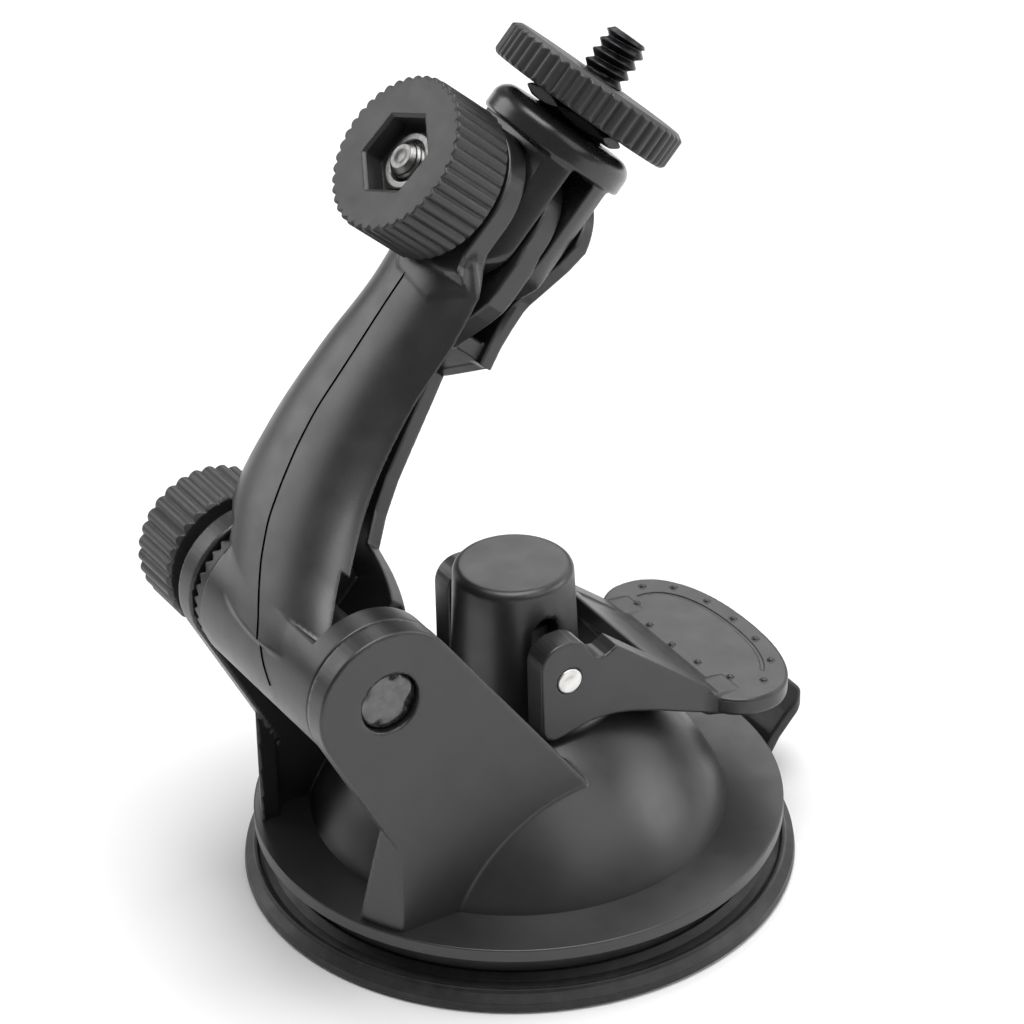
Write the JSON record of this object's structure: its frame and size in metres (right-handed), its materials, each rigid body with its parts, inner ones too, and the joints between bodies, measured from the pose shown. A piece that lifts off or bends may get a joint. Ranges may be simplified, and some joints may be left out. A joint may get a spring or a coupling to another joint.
{
  "type": "suction-cup camera mount",
  "caption": "Suction-cup mount for a small camera, with a cam lever, a leaning hinged arm and a tilting head with a camera screw and thumb wheel.",
  "frame": {"origin": "centre of the suction cup's resting face", "axes": "-Z out of the suction face into the glass; +Y towards the lever's paddle and the release tab; +X along the lower pivot axis, away from its knob"},
  "size_m": [0.0746, 0.0839, 0.1117],
  "materials": {
    "housing_plastic": "satin moulded",
    "arm_plastic": "satin moulded",
    "lever_plastic": "satin moulded",
    "knob_plastic": "fine satin",
    "head_plastic": "semi-gloss moulded",
    "cup_rubber": "soft, smooth",
    "stem_plastic": "moulded",
    "spring_steel": "drawn wire",
    "pin_steel": "ground",
    "nut_steel": "bright zinc",
    "bolt_black": "black oxide",
    "ratchet_plastic": "semi-gloss moulded",
    "washer_dark": "dark zinc"
  },
  "bodies": {
    "base": {"base_housing": "housing_plastic", "suction_cup": "cup_rubber", "return_spring": "spring_steel", "lower_bolt": "bolt_black"},
    "stem": {"cup_stem": "stem_plastic", "lever_pin": "pin_steel"},
    "lever": {"cam_lever": "lever_plastic"},
    "arm": {"arm": "arm_plastic", "ratchet_ring": "ratchet_plastic", "upper_bolt": "nut_steel"},
    "lower_knob": {"lower_knob": "knob_plastic", "lower_nut": "nut_steel", "lower_washer": "washer_dark"},
    "upper_knob": {"upper_knob": "knob_plastic", "upper_washer": "washer_dark", "upper_nut": "nut_steel"},
    "head": {"tripod_head": "head_plastic", "camera_screw": "bolt_black"},
    "wheel": {"thumb_wheel": "knob_plastic", "lock_nut": "bolt_black"}
  },
  "joints": [
    {"name": "stem_slide", "type": "slide", "parent": "base", "child": "stem", "axis": [0, 0, 1], "range_m": [-0.0015, 0], "deforming": ["return_spring", "suction_cup"]},
    {"name": "lever_hinge", "type": "hinge", "parent": "stem", "child": "lever", "pos_m": [0, 0, 0.0345], "axis": [1, 0, 0], "range_deg": [0, 85]},
    {"name": "arm_hinge", "type": "hinge", "parent": "base", "child": "arm", "pos_m": [0, -0.0295, 0.0446], "axis": [1, 0, 0], "range_deg": [-20, 80]},
    {"name": "lower_knob_turn", "type": "hinge", "parent": "base", "child": "lower_knob", "pos_m": [-0.0262, -0.0295, 0.0446], "axis": [1, 0, 0], "continuous": true},
    {"name": "upper_knob_turn", "type": "hinge", "parent": "arm", "child": "upper_knob", "pos_m": [-0.016, -0.00212, 0.09668], "axis": [0, 0.7373, -0.6756], "continuous": true},
    {"name": "head_hinge", "type": "hinge", "parent": "arm", "child": "head", "pos_m": [-0.016, 0.00894, 0.08655], "axis": [0, 0.7373, -0.6756], "range_deg": [-70, 85]},
    {"name": "wheel_turn", "type": "hinge", "parent": "head", "child": "wheel", "pos_m": [-0.01538, 0.02231, 0.10114], "axis": [0.0314, 0.6753, 0.7369], "continuous": true}
  ],
  "couplings": [
    {"joint": "stem_slide", "follows": "lever_hinge", "m_per_rad": -0.001}
  ]
}
